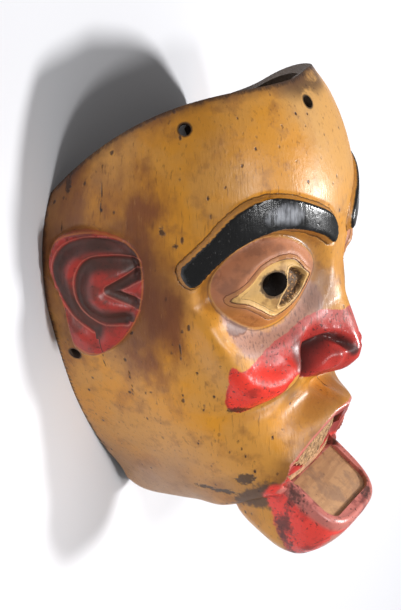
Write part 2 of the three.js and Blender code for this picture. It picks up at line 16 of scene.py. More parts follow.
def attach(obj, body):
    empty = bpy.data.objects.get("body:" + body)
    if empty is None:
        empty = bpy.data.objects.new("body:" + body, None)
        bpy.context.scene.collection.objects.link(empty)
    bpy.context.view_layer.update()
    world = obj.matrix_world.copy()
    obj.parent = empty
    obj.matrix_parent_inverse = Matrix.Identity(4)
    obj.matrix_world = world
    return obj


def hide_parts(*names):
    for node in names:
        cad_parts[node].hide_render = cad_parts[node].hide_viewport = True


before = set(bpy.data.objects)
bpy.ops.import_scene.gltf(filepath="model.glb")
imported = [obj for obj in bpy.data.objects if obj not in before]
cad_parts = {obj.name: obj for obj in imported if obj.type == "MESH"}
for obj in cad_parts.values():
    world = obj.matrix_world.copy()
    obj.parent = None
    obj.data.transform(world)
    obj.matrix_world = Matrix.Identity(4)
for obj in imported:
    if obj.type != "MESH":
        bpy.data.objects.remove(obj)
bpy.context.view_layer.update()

MM = 0.001
LENGTH_MIDDLE = -30.0  # middle of the mask's length, which the frame has at y = 0

# Camera, floor and lights

VIEW_SIDE = math.radians(65)  # how far round to the right side of the face the camera stands
VIEW_RISE = math.radians(20)  # how far it is raised towards the crown
VIEW_DISTANCE = 812.2
FOCAL_PIXELS = 2000
FRAME_WIDTH, FRAME_HEIGHT = 401, 610
SENSOR_WIDTH = 36
NEAR_RIM = (-74.5, 10, 0)  # the rim's nearest point to the camera's side
NEAR_RIM_PIXEL = (42, 250)  # where the picture shows it

# Each lamp's place in metres, its diameter and its power, all aimed at one point
LAMPS = dict(
    far_side_light=((0.46, -0.05, 1.03), 0.17, 12.3),
    near_side_light=((-0.43, 0.16, 1.04), 0.16, 3.1),
)
LAMP_AIM = (0, 0, 0.04)
BEAM = dict(place=(-0.4, -0.1, 1.0), aim=(-0.1, -0.07, 0), degrees=12, softness=0.1, power=42)
ROOM_LIGHT = 0.29
FLOOR_HALF_SIZE = 6


def from_mask(x, y, z):
    """A point of the mask in the frame, in metres."""
    return Vector((x, y - LENGTH_MIDDLE, z)) * MM


def add_object(name, data):
    thing = bpy.data.objects.new(name, data)
    bpy.context.collection.objects.link(thing)
    return thing


def add_camera():
    a, e = VIEW_SIDE, VIEW_RISE
    right = Vector((math.cos(a), 0, math.sin(a)))
    up = Vector((math.sin(a) * math.sin(e), math.cos(e), -math.cos(a) * math.sin(e)))
    back = right.cross(up)
    per_pixel = VIEW_DISTANCE / FOCAL_PIXELS * MM
    sideways = (NEAR_RIM_PIXEL[0] - FRAME_WIDTH / 2) * per_pixel
    upwards = (FRAME_HEIGHT / 2 - NEAR_RIM_PIXEL[1]) * per_pixel
    place = from_mask(*NEAR_RIM) - right * sideways - up * upwards + back * VIEW_DISTANCE * MM
    camera = bpy.data.cameras.new("camera")
    camera.sensor_width = SENSOR_WIDTH
    camera.lens = FOCAL_PIXELS * SENSOR_WIDTH / FRAME_HEIGHT
    camera.clip_start = 0.01
    holder = add_object("camera", camera)
    turn = Matrix((right, up, back)).transposed().to_4x4()
    holder.matrix_world = Matrix.Translation(place) @ turn
    bpy.context.scene.camera = holder


def place_light(name, light, place, aim):
    holder = add_object(name, light)
    holder.location = place
    holder.rotation_euler = (Vector(aim) - Vector(place)).to_track_quat("-Z", "Y").to_euler()


def add_lamp(name, place, size, power):
    """A round soft lamp aimed at the middle of the mask."""
    light = bpy.data.lights.new(name, "AREA")
    light.shape = "DISK"
    light.size = size
    light.energy = power
    place_light(name, light, place, LAMP_AIM)


def add_floor_beam():
    """A narrow soft beam that lightens the floor beside the cheek."""
    light = bpy.data.lights.new("floor_light", "SPOT")
    light.spot_size = math.radians(BEAM["degrees"])
    light.spot_blend = 1
    light.shadow_soft_size = BEAM["softness"]
    light.energy = BEAM["power"]
    place_light("floor_light", light, BEAM["place"], BEAM["aim"])


def add_studio():
    for name, lamp in LAMPS.items():
        add_lamp(name, *lamp)
    add_floor_beam()
    world = bpy.data.worlds.new("studio")
    world.use_nodes = True
    background = world.node_tree.nodes["Background"]
    background.inputs["Color"].default_value = (1, 1, 1, 1)
    background.inputs["Strength"].default_value = ROOM_LIGHT
    bpy.context.scene.world = world
    bpy.context.scene.view_settings.view_transform = "Standard"


def add_floor():
    form = bmesh.new()
    bmesh.ops.create_grid(form, x_segments=1, y_segments=1, size=FLOOR_HALF_SIZE)
    paper = Shader("pale_paper")
    paper.surface(colour(0.87, 0.87, 0.885), 0.9)
    as_object(form, "floor", [paper.material])


# Shader maths


def colour(red, green, blue):
    """A colour from screen values 0..1 to the linear values that the shader reads."""
    linear = [c / 12.92 if c <= 0.04045 else ((c + 0.055) / 1.055) ** 2.4 for c in (red, green, blue)]
    return (*linear, 1)


class Value:
    """A socket that adds Math nodes when it is worked with."""

    def __init__(self, shader, socket_shade):
        self.shader = shader
        self.socket_shade = socket_shade

    def math(self, operation, a, b=0.0):
        return self.shader.node("ShaderNodeMath", {"operation": operation}, {0: a, 1: b})

    def __add__(self, other):
        return self.math("ADD", self, other)

    def __sub__(self, other):
        return self.math("SUBTRACT", self, other)

    def __rsub__(self, other):
        return self.math("SUBTRACT", other, self)

    def __mul__(self, other):
        return self.math("MULTIPLY", self, other)

    __radd__ = __add__
    __rmul__ = __mul__

    def __abs__(self):
        return self.math("ABSOLUTE", self)

    def most(self, other):
        return self.math("MAXIMUM", self, other)

    def rise(self, start, end):
        """0 before start, 1 after end, smooth between; it falls where start is the larger."""
        if start > end:
            return 1 - self.rise(end, start)
        settings = {"interpolation_type": "SMOOTHSTEP"}
        return self.shader.node("ShaderNodeMapRange", settings, {0: self, 1: start, 2: end})


class Shader:
    """A node material built by expressions."""

    def __init__(self, name):
        self.material = bpy.data.materials.new(name)
        self.material.use_nodes = True
        self.tree = self.material.node_tree
        self.bsdf = self.tree.nodes["Principled BSDF"]

    def connect(self, node, key, value):
        if isinstance(value, Value):
            self.tree.links.new(value.socket_shade, node.inputs[key])
        else:
            node.inputs[key].default_value = value

    def node(self, kind, settings=None, inputs=None, output=0):
        node = self.tree.nodes.new(kind)
        for key, setting in (settings or {}).items():
            setattr(node, key, setting)
        for key, value in (inputs or {}).items():
            self.connect(node, key, value)
        return Value(self, node.outputs[output])

    def field(self, name):
        """A number stored at the piece's vertices."""
        return self.node("ShaderNodeAttribute", {"attribute_name": name}, output="Fac")

    def fields(self, names):
        return [self.field(name) for name in names.split()]

    def patch(self, name, uneven, start, end):
        """A rise over a stored number, with an uneven edge."""
        return (self.field(name) + uneven).rise(start, end)

    def place(self, scale, stretch):
        """Object coordinates counted in lengths of scale millimetres, drawn out by stretch."""
        where = self.node("ShaderNodeTexCoord", output="Object")
        counts = [1 / (scale * MM * s) for s in stretch]
        return self.node("ShaderNodeMapping", inputs={"Vector": where, "Scale": counts})

    def grain(self, scale, detail=4.0, stretch=(1, 1, 1)):
        """Noise about 0.5 with features of scale millimetres."""
        where = self.place(scale, stretch)
        inputs = {"Vector": where, "Scale": 1.0, "Detail": detail, "Roughness": 0.55}
        return self.node("ShaderNodeTexNoise", inputs=inputs)

    def spots(self, scale, stretch=(1, 1, 1)):
        """Distance to scattered points, in lengths of scale millimetres."""
        where = self.place(scale, stretch)
        return self.node("ShaderNodeTexVoronoi", inputs={"Vector": where, "Scale": 1.0})

    def mix(self, factor, a, b):
        """Colour b over colour a."""
        settings = {"data_type": "RGBA", "clamp_factor": True}
        return self.node("ShaderNodeMix", settings, {"Factor": factor, 6: a, 7: b}, output=2)

    def surface(self, base, roughness, height=None, depth=0.3):
        """Sets the shader's sockets; depth is the height's full relief in millimetres."""
        self.connect(self.bsdf, "Base Color", base)
        self.connect(self.bsdf, "Roughness", roughness)
        if height is not None:
            bump = self.node("ShaderNodeBump", inputs={"Height": height, "Distance": depth * MM})
            self.connect(self.bsdf, "Normal", bump)


# The carved form, in millimetres

WALL = 9.0
RIM_WALL = 7.0
HEAD_RADIUS = 92.0
PUPIL = dict(u=38.8, y=-2.9, radius=5.2)
TEMPLE_HOLE = dict(u=72.2, y=62.0, radius=2.5)
TEMPLE_DROP = 11.0
TEMPLE_AXIS = (0.85, 0.34, 0.4)  # the way out of the temple's hole, on the side x > 0
FOREHEAD_HOLE = dict(u=-8.5, y=66.0, radius=2.7)
NAPE_HOLE = dict(u=133.0, y=-38.2, radius=2.6)
BROW_HEIGHT = 2.0
SOCKET_DEPTH = 5.0
EYEBALL_HEIGHT = 5.0
EAR_HEIGHT = 6.0
FACE_HALF_WIDTH = 80
EDGE_FALL = 16.0  # how far the top edge's left side is worn down towards the rim

# Rows from the top edge down the face, under the chin and back to the rim:
# mid-plane y and z, rim x, y and z, boxiness, and lift of the shoulders towards the crown.
ROWS = np.array([
    (75, 82, 66, 32, 0, 0.96, 12),
    (64, 90, 70.3, 25.5, 0, 0.95, 9),
    (48, 97, 73.3, 17, 0, 0.94, 6),
    (30, 101.5, 74.5, 9, 0, 0.94, 3),
    (10, 102, 74.3, -1, 0, 0.94, 1),
    (-12, 100, 72.3, -13, 0, 0.92, 0),
    (-34, 98, 67.5, -26, 0, 0.86, 0),
    (-56, 96.5, 60.5, -42, 0, 0.76, 0),
    (-77, 95, 51.5, -60, 0, 0.64, 0),
    (-97, 90, 42, -75, 0, 0.54, 0),
    (-113, 71, 33, -87.5, 0.5, 0.56, 0),
    (-120, 50, 25, -98, 1.5, 0.66, 0),
    (-123.5, 30, 19, -105, 2.5, 0.8, 0),
    (-124.5, 15, 15.5, -109.5, 3.5, 0.9, 0),
    (-121.5, 5, 13, -112, 4, 1, 0),
], float)
LAST_ROW = len(ROWS) - 1


def smooth(x, start, end):
    t = np.clip((x - start) / (end - start), 0, 1)
    return t * t * (3 - 2 * t)


def bell(x, width):
    return np.exp(-(x * x) / (width * width))


def between(x, stops):
    """A value on the straight lines between stops."""
    return np.interp(x, *np.array(stops, float).T)


def rows_at(v):
    """Catmull-Rom through the rows, with a straight run out at both ends."""
    padded = np.vstack([2 * ROWS[0] - ROWS[1], ROWS, 2 * ROWS[-1] - ROWS[-2]])
    i = np.minimum(np.floor(v).astype(int), LAST_ROW - 1)
    f = (v - i)[..., None]
    a, b, c, d = (padded[i + k] for k in range(4))
    return hermite(f, b, c, (c - a) / 2, (d - b) / 2).transpose(-1, *range(f.ndim - 1)).copy()


def hermite(f, start, end, leaving, arriving):
    """A cubic from start to end with the slopes it leaves and arrives with."""
    square, cube = f**2, f**3
    return ((2 * cube - 3 * square + 1) * start + (cube - 2 * square + f) * leaving
            + (3 * square - 2 * cube) * end + (cube - square) * arriving)


def head_point(row, s, v):
    """Points on the rows' arcs: s runs -1..1 from rim to rim."""
    mid_y, mid_z, rim_x, rim_y, rim_z, power, lift = row
    angle = np.abs(s) * np.pi / 2
    side = np.sign(s) * np.sin(angle) ** power
    rise = np.where(np.abs(s) >= 1, 0, np.maximum(np.cos(angle), 0) ** power)
    shoulders = lift * 4 * rise * (1 - rise)
    top = 1 - smooth(v, 0, 2.5)
    worn_side = EDGE_FALL * np.maximum(s - 0.12, 0) * smooth(rise, 0, 0.5) * top
    peak = 1.2 * bell(s - 0.06, 0.08) * top
    rim_z = np.maximum(rim_z, 0)
    return np.stack([
        rim_x * side,
        rim_y + (mid_y - rim_y) * rise + shoulders - worn_side + peak,
        rim_z + (mid_z - rim_z) * rise,
    ], -1)


def head(s, v):
    return head_point(rows_at(v), s, v)


def head_normal(s, v):
    step = 0.002
    across = head(np.minimum(s + step, 1), v) - head(np.maximum(s - step, -1), v)
    down = head(s, np.minimum(v + 8 * step, LAST_ROW)) - head(s, np.maximum(v - 8 * step, 0))
    out = np.cross(down, across)
    return out / np.linalg.norm(out, axis=-1, keepdims=True)


def around(p):
    """Distance round the head from the mid-plane."""
    return HEAD_RADIUS * np.arctan2(np.abs(p[..., 0]), p[..., 2])


def curve(count, *points):
    """A closed Catmull-Rom line of count points, spaced by the square root of its steps."""
    return bend(points, count, closed=True)


def open_curve(count, *points):
    return bend(points, count, closed=False)


def bend(points, count, closed):
    points = np.array(points, float)
    if closed:
        padded = np.vstack([points[-1], points, points[:2]])
    else:
        padded = np.vstack([2 * points[0] - points[1], points, 2 * points[-1] - points[-2]])
    spans = len(padded) - 3
    line = []
    for t in np.linspace(0, spans, count, endpoint=not closed):
        i = min(int(t), spans - 1)
        p = padded[i:i + 4]
        before, here, after = np.maximum(np.linalg.norm(np.diff(p, axis=0), axis=1) ** 0.5, 1e-4)
        leaving = (p[1] - p[0]) / before - (p[2] - p[0]) / (before + here) + (p[2] - p[1]) / here
        arriving = (p[2] - p[1]) / here - (p[3] - p[1]) / (here + after) + (p[3] - p[2]) / after
        line.append(hermite(t - i, p[1], p[2], leaving * here, arriving * here))
    return np.array(line)


def line_distance(u, y, line, closed=False):
    """Distance from (u, y) to a line, and how far along it (0..1) the nearest point is."""
    line = np.asarray(line, float)
    ends = np.roll(line, -1, 0) if closed else line[1:]
    starts = line if closed else line[:-1]
    nearest = np.full(np.shape(u), 1e9)
    along = np.zeros(np.shape(u))
    for i, (a, b) in enumerate(zip(starts, ends)):
        d = b - a
        t = np.clip(((u - a[0]) * d[0] + (y - a[1]) * d[1]) / max(d @ d, 1e-9), 0, 1)
        distance = np.hypot(u - a[0] - d[0] * t, y - a[1] - d[1] * t)
        closer = distance < nearest
        nearest = np.where(closer, distance, nearest)
        along = np.where(closer, (i + t) / len(starts), along)
    return nearest, along


def outline_distance(u, y, line):
    """Signed distance from (u, y) to a closed outline, negative inside."""
    inside = np.zeros(np.shape(u), bool)
    for a, b in zip(line, np.roll(line, -1, 0)):
        if a[1] != b[1]:
            crosses = (a[1] > y) != (b[1] > y)
            inside ^= crosses & (u < (b[0] - a[0]) * (y - a[1]) / (b[1] - a[1]) + a[0])
    nearest, _ = line_distance(u, y, line, closed=True)
    return np.where(inside, -nearest, nearest)


# Outlines on one side of the head: distance round from the mid-plane, and height
BROW = curve(76, (7, 12), (11, 21), (22, 28), (32, 32.3), (41, 34), (50, 32), (58, 27), (66, 18.5),
             (74, 10.5), (77.5, 6.5), (75.5, 0.5), (71.5, -1.5), (63, 7), (55, 14), (46, 18.5),
             (36, 20.2), (26, 18), (16, 13.2), (9, 8.5))
EYEBALL = curve(66, (15, -1), (22, 9), (32, 15), (42, 16), (53, 11.5), (60, 4), (62.5, -3), (60.5, -11),
                (53, -18), (42, -23), (30, -20.5), (20, -12))
ALMOND = curve(72, (56, -8.5), (49, -2), (43, 5), (36.5, 7.2), (30, 6), (25.5, 1), (21, -3.5),
               (23.5, -10.5), (30, -15), (36.5, -17.8), (44, -13.5), (50, -10))
GOUGE = curve(40, (32, 2.8), (27, 1), (23, -4), (24.5, -9.8), (30, -12.5), (35.5, -13.5),
              (35, -9), (32.6, -5), (33, -0.5))
CHEEKBONE = open_curve(42, (66, -8), (62.5, -18), (59, -28), (54, -37), (47, -45), (37, -48),
                       (27, -44), (20, -34))
CHEEK_FOLD = open_curve(30, (14.5, -24), (16.5, -28.5), (19, -34), (21.4, -39.8), (24, -45.9),
                        (27.3, -51.4), (32.5, -55.8), (40.5, -59), (50, -62), (56, -63.5))
LIP_LINE = [(0, -66.5), (8, -67.5), (15, -71.5), (21, -76), (27, -81), (31, -85.5), (31.5, -97)]
# How far the lip stands out at each of those points, by its number, and where it comes to
LIP_LIFT = list(enumerate([10.4, 8.5, 6.8, 5.5, 5.7, 6.9, 10.5]))
LIP_Z = list(enumerate([106.5, 104.3, 101.7, 98.7, 95.8, 93.2, 88]))
EAR = curve(64, (95, 12), (101, 18), (112, 21.5), (124, 21.5), (134, 17), (138.5, 8), (137, -2),
            (132.5, -10), (130, -20), (128.5, -28), (122, -32.5), (114, -33), (106, -29),
            (99.5, -22), (94.5, -12), (93, 2))
HELIX_GROOVE = open_curve(42, (95, 13), (107, 17.5), (121, 17), (131, 12), (134.5, 4), (131, -6),
                          (125, -15), (117, -21))
INNER_GROOVE = open_curve(42, (96, 8.5), (108, 10), (119, 8), (123.5, 0), (122, -10), (114, -16.5),
                          (101, -17))
# Points in front of the ear that close each groove's line round what it encloses
HELIX_FRONT = [(112, -34), (80, -30), (80, 13)]
INNER_FRONT = [(80, -17), (80, 8.5)]
# Each groove is steep on the side of the ear's edge and runs out gently on the other
HELIX_STEP = dict(depth=3.6, steep=2.3, gentle=4.6)
INNER_STEP = dict(depth=4.2, steep=2.3, gentle=5)
EAR_NOTCH = [(93, 4.5), (109, -3.2), (94, -9.5)]
NOTCH_DEPTH, NOTCH_WIDTH = 4, 2.8
# Where the sheet's steps are evened out, and how often
EAR_ZONE = dict(front=90, middle=-6, reach=34, passes=2)
RED_CHEEK = curve(90, (57.5, -35.8), (53, -38.5), (46.7, -36), (40, -31.8), (27.8, -26.5),
                  (20.5, -22.5), (13.3, -20.8), (4, -23), (-6, -23), (-6, -54), (6, -53), (16, -49.5),
                  (24, -47.5), (29, -44), (33, -47), (36, -52), (42, -57.5), (49, -60.5),
                  (54.7, -56.5), (56.7, -46))
# The nose's ridge: height on the face, and how far it stands out
NOSE_PROFILE = [(20, 0), (8, -1.5), (-4, -0.5), (-18, 3.5), (-26, 8), (-33, 11.5), (-40, 14),
                (-45, 13.5), (-50, 10.5), (-53.5, 1), (-57, 0)]
NOSE_WING = dict(x=14.5, y=-43, half_width=10.5, half_height=9, height=5)
NOSE_FLARE = dict(x=12, y=-34, half_width=10, half_height=13, height=2.5)
NOSE_ARCH = open_curve(24, (24.4, -46.5), (22.7, -42.2), (20.2, -38.2), (17.2, -35.3), (14.1, -33.2),
                       (10.8, -33.4), (6.5, -36.5), (3.5, -41))
NOSE_BOTTOM = [(0, -51.5), (2.2, -51), (11.4, -50.9), (16.9, -49.9), (22.8, -47.5), (27, -43)]


def ear_steps(u, y):
    """Signed distances to the two grooves: above 0 on the side of the ear's edge."""
    found = []
    for groove, front in ((HELIX_GROOVE, HELIX_FRONT), (INNER_GROOVE, INNER_FRONT)):
        outward = np.sign(outline_distance(u, y, np.concatenate([groove, front])) + 1e-6)
        found.append(line_distance(u, y, groove)[0] * outward)
    return found


def ear_relief(u, y):
    edge = outline_distance(u, y, EAR)
    proud = EAR_HEIGHT * smooth(u, 88, 124) + 1.5
    in_ear = smooth(-edge, 0, 3)
    h = proud * smooth(-edge, -1, 1.6)
    for distance, step in zip(ear_steps(u, y), (HELIX_STEP, INNER_STEP)):
        h -= step["depth"] * bell(distance, np.where(distance > 0, step["steep"], step["gentle"])) * in_ear
    h -= NOTCH_DEPTH * bell(line_distance(u, y, EAR_NOTCH)[0], NOTCH_WIDTH) * in_ear
    return np.where(edge > 4, 0, h)


def eye_relief(u, y):
    outlines = (BROW, EYEBALL, ALMOND, GOUGE)
    brow, ball, almond, gouge = (outline_distance(u, y, outline) for outline in outlines)
    bone, along = line_distance(u, y, CHEEKBONE)
    h = BROW_HEIGHT * smooth(-brow, -0.5, 0.5) - 0.7 * bell(brow - 1.5, 0.7)
    h = h - SOCKET_DEPTH * smooth(-ball, -11, -1) * smooth(brow, -1, 4)
    h = h + EYEBALL_HEIGHT * smooth(-ball, -0.5, 9) + 0.8 * smooth(-ball, -0.4, 0.6)
    h = h - 1.2 * smooth(-almond, -0.4, 0.6) + 1.2 * smooth(-almond, 1.5, 8)
    h = h - 0.6 * bell(almond - 2, 0.6) - 3.5 * smooth(-gouge, -0.5, 1.5)
    ends = smooth(along, 0, 0.15) * (1 - smooth(along, 0.85, 1))
    return h + 5.5 * bell(bone, 11 - 3 * smooth(ball, -3, 4)) * ends


def nose_relief(x, y):
    """The ridge, the flared sides, and a wing under an arched groove on each side."""
    ax = np.abs(x)
    height = between(y, NOSE_PROFILE[::-1])
    half = 7 + 4 * smooth(-y, 0, 40)
    above = smooth(y - between(ax, NOSE_BOTTOM), -2.5, 1)
    raised = np.zeros_like(ax)
    for ball in (NOSE_FLARE, NOSE_WING):
        out = np.hypot((ax - ball["x"]) / ball["half_width"], (y - ball["y"]) / ball["half_height"])
        raised += ball["height"] * smooth(1 - out, 0, 0.75)
    arch, along = line_distance(ax, y, NOSE_ARCH)
    groove = 5 * bell(arch, 1.9) * (1 - smooth(along, 0.85, 1))
    return height * np.exp(-((ax / half) ** 2.2)) + (raised * smooth(ax, 3, 13) - groove) * above


def lip_inside(x, y):
    """Distance to the upper lip's line, how far along it that is, and whether it is inside the mouth."""
    ax = np.abs(x)
    distance, along = line_distance(ax, y, LIP_LINE)
    inside = (ax < LIP_LINE[-1][0]) & (y < between(ax, LIP_LINE[:-1])) & (y > LIP_LINE[-1][1])
    return distance, along * (len(LIP_LINE) - 1), inside


def muzzle_relief(x, y, z):
    """The upper lip's edge, falling away to the cheeks on one side and into the mouth on the other."""
    ax = np.abs(x)
    distance, along, inside = lip_inside(x, y)
    width = 5.5 + 4 * smooth(ax, 3, 14) - 2.5 * smooth(ax, 21, 31)
    outside = between(along, LIP_LIFT) * bell(distance, width)
    rolled_in = between(along, LIP_Z) - 1.6 * smooth(distance, 0.5, 5) - z
    dip = 8 * bell(y + 61, 9) * bell(x, 28) * smooth(distance, 0, 9)
    return np.where(inside, rolled_in, outside - dip) + 0.5 * bell(distance, 1.2)


def skin(s, v):
    """The carved outer skin."""
    p = head(s, v)
    u, x, y, z = around(p), p[..., 0], p[..., 1], p[..., 2]
    fold, along = line_distance(u, y, CHEEK_FOLD)
    outward = eye_relief(u, y) * smooth(z, 30, 50) + ear_relief(u, y)
    fading = smooth(along, 0, 0.3) * (1 - 0.6 * smooth(along, 0.55, 1))
    outward = outward - 3.6 * bell(fold, 3.2) * fading * smooth(z, 45, 60)
    forward = (nose_relief(x, y) + muzzle_relief(x, y, z)) * smooth(z, 45, 70)
    p = p + head_normal(s, v) * (outward * smooth(1 - np.abs(s), 0, 0.03))[..., None]
    p[..., 2] += forward
    return p + fillet(p)[..., None] * head_normal(s, v)


def fillet(p):
    """How far the skin swells out where it runs on to the lower lip."""
    from_corner = p - JAW_CORNER
    run, height = from_corner @ JAW_FORWARD, from_corner @ JAW_UP
    share = lip_share(run, np.abs(p[..., 0]))
    beside = bell(share - 1, 0.2) * smooth(height, 2, -3) * smooth(run, -24, -12)
    return 2.5 * beside * smooth(p[..., 1], -84, -92)


def lip_narrowing(run):
    return 1 - JAW["front_narrowing"] * smooth(run, 5, 33)


def lip_share(run, side):
    """How far out in the lower lip's outline a point is: 0 in the middle, 1 at its edge."""
    power = 2 / JAW["squareness"]
    along, across = np.abs(run - JAW_MIDDLE) / JAW_HALF, side / (JAW["half_width"] * lip_narrowing(run))
    return (along**power + across**power) ** (1 / power)


def hollow(s, v):
    """The hollow behind the face: each row drawn in by the wall."""
    row = rows_at(v)
    run = rows_at(np.minimum(v + 0.05, LAST_ROW)) - rows_at(np.maximum(v - 0.05, 0))
    mid_y, mid_z = run[:2] / np.hypot(run[0], run[1])
    rim_x, rim_y = run[2:4] / np.hypot(run[2], run[3])
    wall = RIM_WALL + (WALL - RIM_WALL) * smooth(np.minimum(v, (LAST_ROW - v) / 2), 0, 1)
    row[2] += RIM_WALL * rim_y
    row[3] -= RIM_WALL * rim_x
    row[0] -= wall * mid_z
    row[1] += wall * mid_y
    return head_point(row, s, v)


# The lower lip: a scoop that stands out from the chin
JAW_CORNER = np.array((0, -97, 88.5))
JAW_FORWARD = np.array((0, -0.627, 0.779))
JAW_UP = np.array((0, 0.779, 0.627))
JAW = dict(half_width=28.3, front=33, back=-20, front_narrowing=0.03, under_drop=0.05, squareness=0.56)
JAW_MIDDLE, JAW_HALF = (JAW["front"] + JAW["back"]) / 2, (JAW["front"] - JAW["back"]) / 2
# Half its section: share of the outline, and height
JAW_SECTION = [(0, 1.4), (0.4, 1.4), (0.78, 1.4), (0.88, 1.9), (0.94, 1.2), (0.98, -1.5), (1, -8),
               (0.97, -15), (0.9, -22), (0.76, -28.5), (0.5, -32), (0, -33)]
# The mouth: a rough recess under the upper lip, and a smooth floor in the lower one
MOUTH_TOP = [(0, -69.5), (8, -70.5), (14, -74), (19.5, -79), (23.5, -84), (25, -90), (24.5, -98.7)]
MOUTH_BACK = dict(y=-98.5, z=89.3, slope=0.25, fall=0.003)
MOUTH_FLOOR = dict(half_width=22.4, back=1.2, front=26.2, corner=7, height=-0.3, top=6)


def squarish(c):
    """A sine or cosine drawn out so that a circle comes nearer to a square."""
    return np.sign(c) * np.abs(c) ** JAW["squareness"]


def jaw_point(r, angle, height):
    """A point of the lower lip at a share r of its outline, an angle round it and a height."""
    run = JAW_MIDDLE + JAW_HALF * r * squarish(np.cos(angle))
    side = JAW["half_width"] * lip_narrowing(run) * r * squarish(np.sin(angle))
    drop = JAW["under_drop"] * (JAW["front"] - run) * smooth(-height, 6, 28)
    p = JAW_CORNER + run[..., None] * JAW_FORWARD + (height - drop)[..., None] * JAW_UP
    p[..., 0] += side
    return p


# Meshes

FINENESS = 5  # fine cells for each cell of the solid
# Stops of the sheet's lines, each with the number of the solid's cells that lead up to it
COLUMN_STOPS = [(0, 0), (0.17, 5), (0.43, 9), (0.64, 3), (0.95, 10), (1, 1)]
ROW_STOPS = [(0, 0), (2, 4), (6, 21), (8.5, 13), (LAST_ROW, 12)]
PAINTED, BARE, RAW = 0, 1, 2
BELOW_RIM = (0, -30, -12)  # the point to which the hollow's cutter closes
RECESS_REACH = 40
DRILL_LENGTH = 44
STEEP = 0.35  # a face whose normal rises less than this stands steeply
SHARP_FOLD = math.radians(50)  # a fold that isn't shaded smooth


def grid_lines(stops):
    lines = [stops[0][0]]
    for (a, _), (b, count) in zip(stops, stops[1:]):
        steps = count * FINENESS
        lines += [a + (b - a) * k / steps for k in range(1, steps + 1)]
    return np.array(lines)


def column_lines():
    half = grid_lines(COLUMN_STOPS)
    return np.concatenate([-half[:0:-1], half])


def give(faces, finish):
    for face in faces:
        face.material_index = finish


def place_all(verts, points):
    for vert, point in zip(verts, points):
        vert.co = from_mask(*point)


def only_verts(geometry):
    return [part for part in geometry if isinstance(part, bmesh.types.BMVert)]


def face_outwards(form):
    bmesh.ops.recalc_face_normals(form, faces=form.faces)


def raise_faces(form, faces, rise):
    """Extrudes faces by rise into a closed cutter, whose steep walls leave paint where they cut."""
    raised = bmesh.ops.extrude_face_region(form, geom=faces)["geom"]
    bmesh.ops.translate(form, verts=only_verts(raised), vec=rise)
    face_outwards(form)
    form.normal_update()
    give([face for face in form.faces if abs(face.normal.z) < STEEP], PAINTED)


def add_sheet(form, columns, rows, surface):
    """A grid whose corners are placed by surface(s, v); returns its border edges and its faces."""
    before = len(form.faces)
    sheet = bmesh.ops.create_grid(form, x_segments=len(columns) - 1, y_segments=len(rows) - 1, size=1)
    across = np.array([vert.co.x for vert in sheet["verts"]])
    down = np.array([vert.co.y for vert in sheet["verts"]])
    i = np.rint((across + 1) / 2 * (len(columns) - 1)).astype(int)
    j = np.rint((1 - down) / 2 * (len(rows) - 1)).astype(int)
    place_all(sheet["verts"], surface(columns[i], rows[j]))
    own = set(sheet["verts"])
    border = [e for e in form.edges if e.is_boundary and e.verts[0] in own]
    return border, form.faces[before:]


def soften_ears(form):
    """Evens out the steps that the grid leaves where an ear's edges cross it slantwise."""
    near = []
    for vert in form.verts:
        x, y, z = vert.co / MM
        y += LENGTH_MIDDLE
        behind = HEAD_RADIUS * math.atan2(abs(x), z) > EAR_ZONE["front"]
        if behind and abs(y - EAR_ZONE["middle"]) < EAR_ZONE["reach"] and not vert.is_boundary:
            near.append(vert)
    for _ in range(EAR_ZONE["passes"]):
        bmesh.ops.smooth_vert(form, verts=near, factor=0.5, use_axis_x=True, use_axis_y=True, use_axis_z=True)


def carved_shell():
    """Outer skin and hollow as two sheets, bridged round the rim."""
    form = bmesh.new()
    columns, rows = column_lines(), grid_lines(ROW_STOPS)
    outer_border, _ = add_sheet(form, columns, rows, skin)
    soften_ears(form)
    inner_border, inner_faces = add_sheet(form, columns[::FINENESS], rows[::FINENESS], hollow)
    bmesh.ops.reverse_faces(form, faces=inner_faces)
    rim = bmesh.ops.bridge_loops(form, edges=outer_border + inner_border)["faces"]
    give([*inner_faces, *rim], BARE)
    face_outwards(form)
    return form


def closed_hollow():
    """The room behind the face as a solid, closed well below the rim."""
    form = bmesh.new()
    border, _ = add_sheet(form, column_lines()[::FINENESS], grid_lines(ROW_STOPS)[::FINENESS], hollow)
    below = bmesh.ops.extrude_edge_only(form, edges=border)["geom"]
    bmesh.ops.pointmerge(form, verts=only_verts(below), merge_co=from_mask(*BELOW_RIM))
    give(form.faces, BARE)
    face_outwards(form)
    return form


def lower_lip():
    """The scoop, spun from its section and stretched to its rounded outline."""
    form = bmesh.new()
    section = open_curve(14 * FINENESS, *JAW_SECTION)
    section[0, 0] = section[-1, 0] = 0
    verts = [form.verts.new((r, 0, h)) for r, h in section]
    edges = [form.edges.new(pair) for pair in zip(verts, verts[1:])]
    bmesh.ops.spin(form, geom=verts + edges, cent=(0, 0, 0), axis=(0, 0, 1), angle=math.tau,
                   steps=32 * FINENESS, use_merge=True)
    bmesh.ops.remove_doubles(form, verts=form.verts, dist=1e-5)
    spun = np.array([vert.co for vert in form.verts])
    r, angle = np.hypot(spun[:, 0], spun[:, 1]), np.arctan2(spun[:, 0], spun[:, 1])
    place_all(form.verts, jaw_point(r, angle, spun[:, 2]))
    face_outwards(form)
    return form


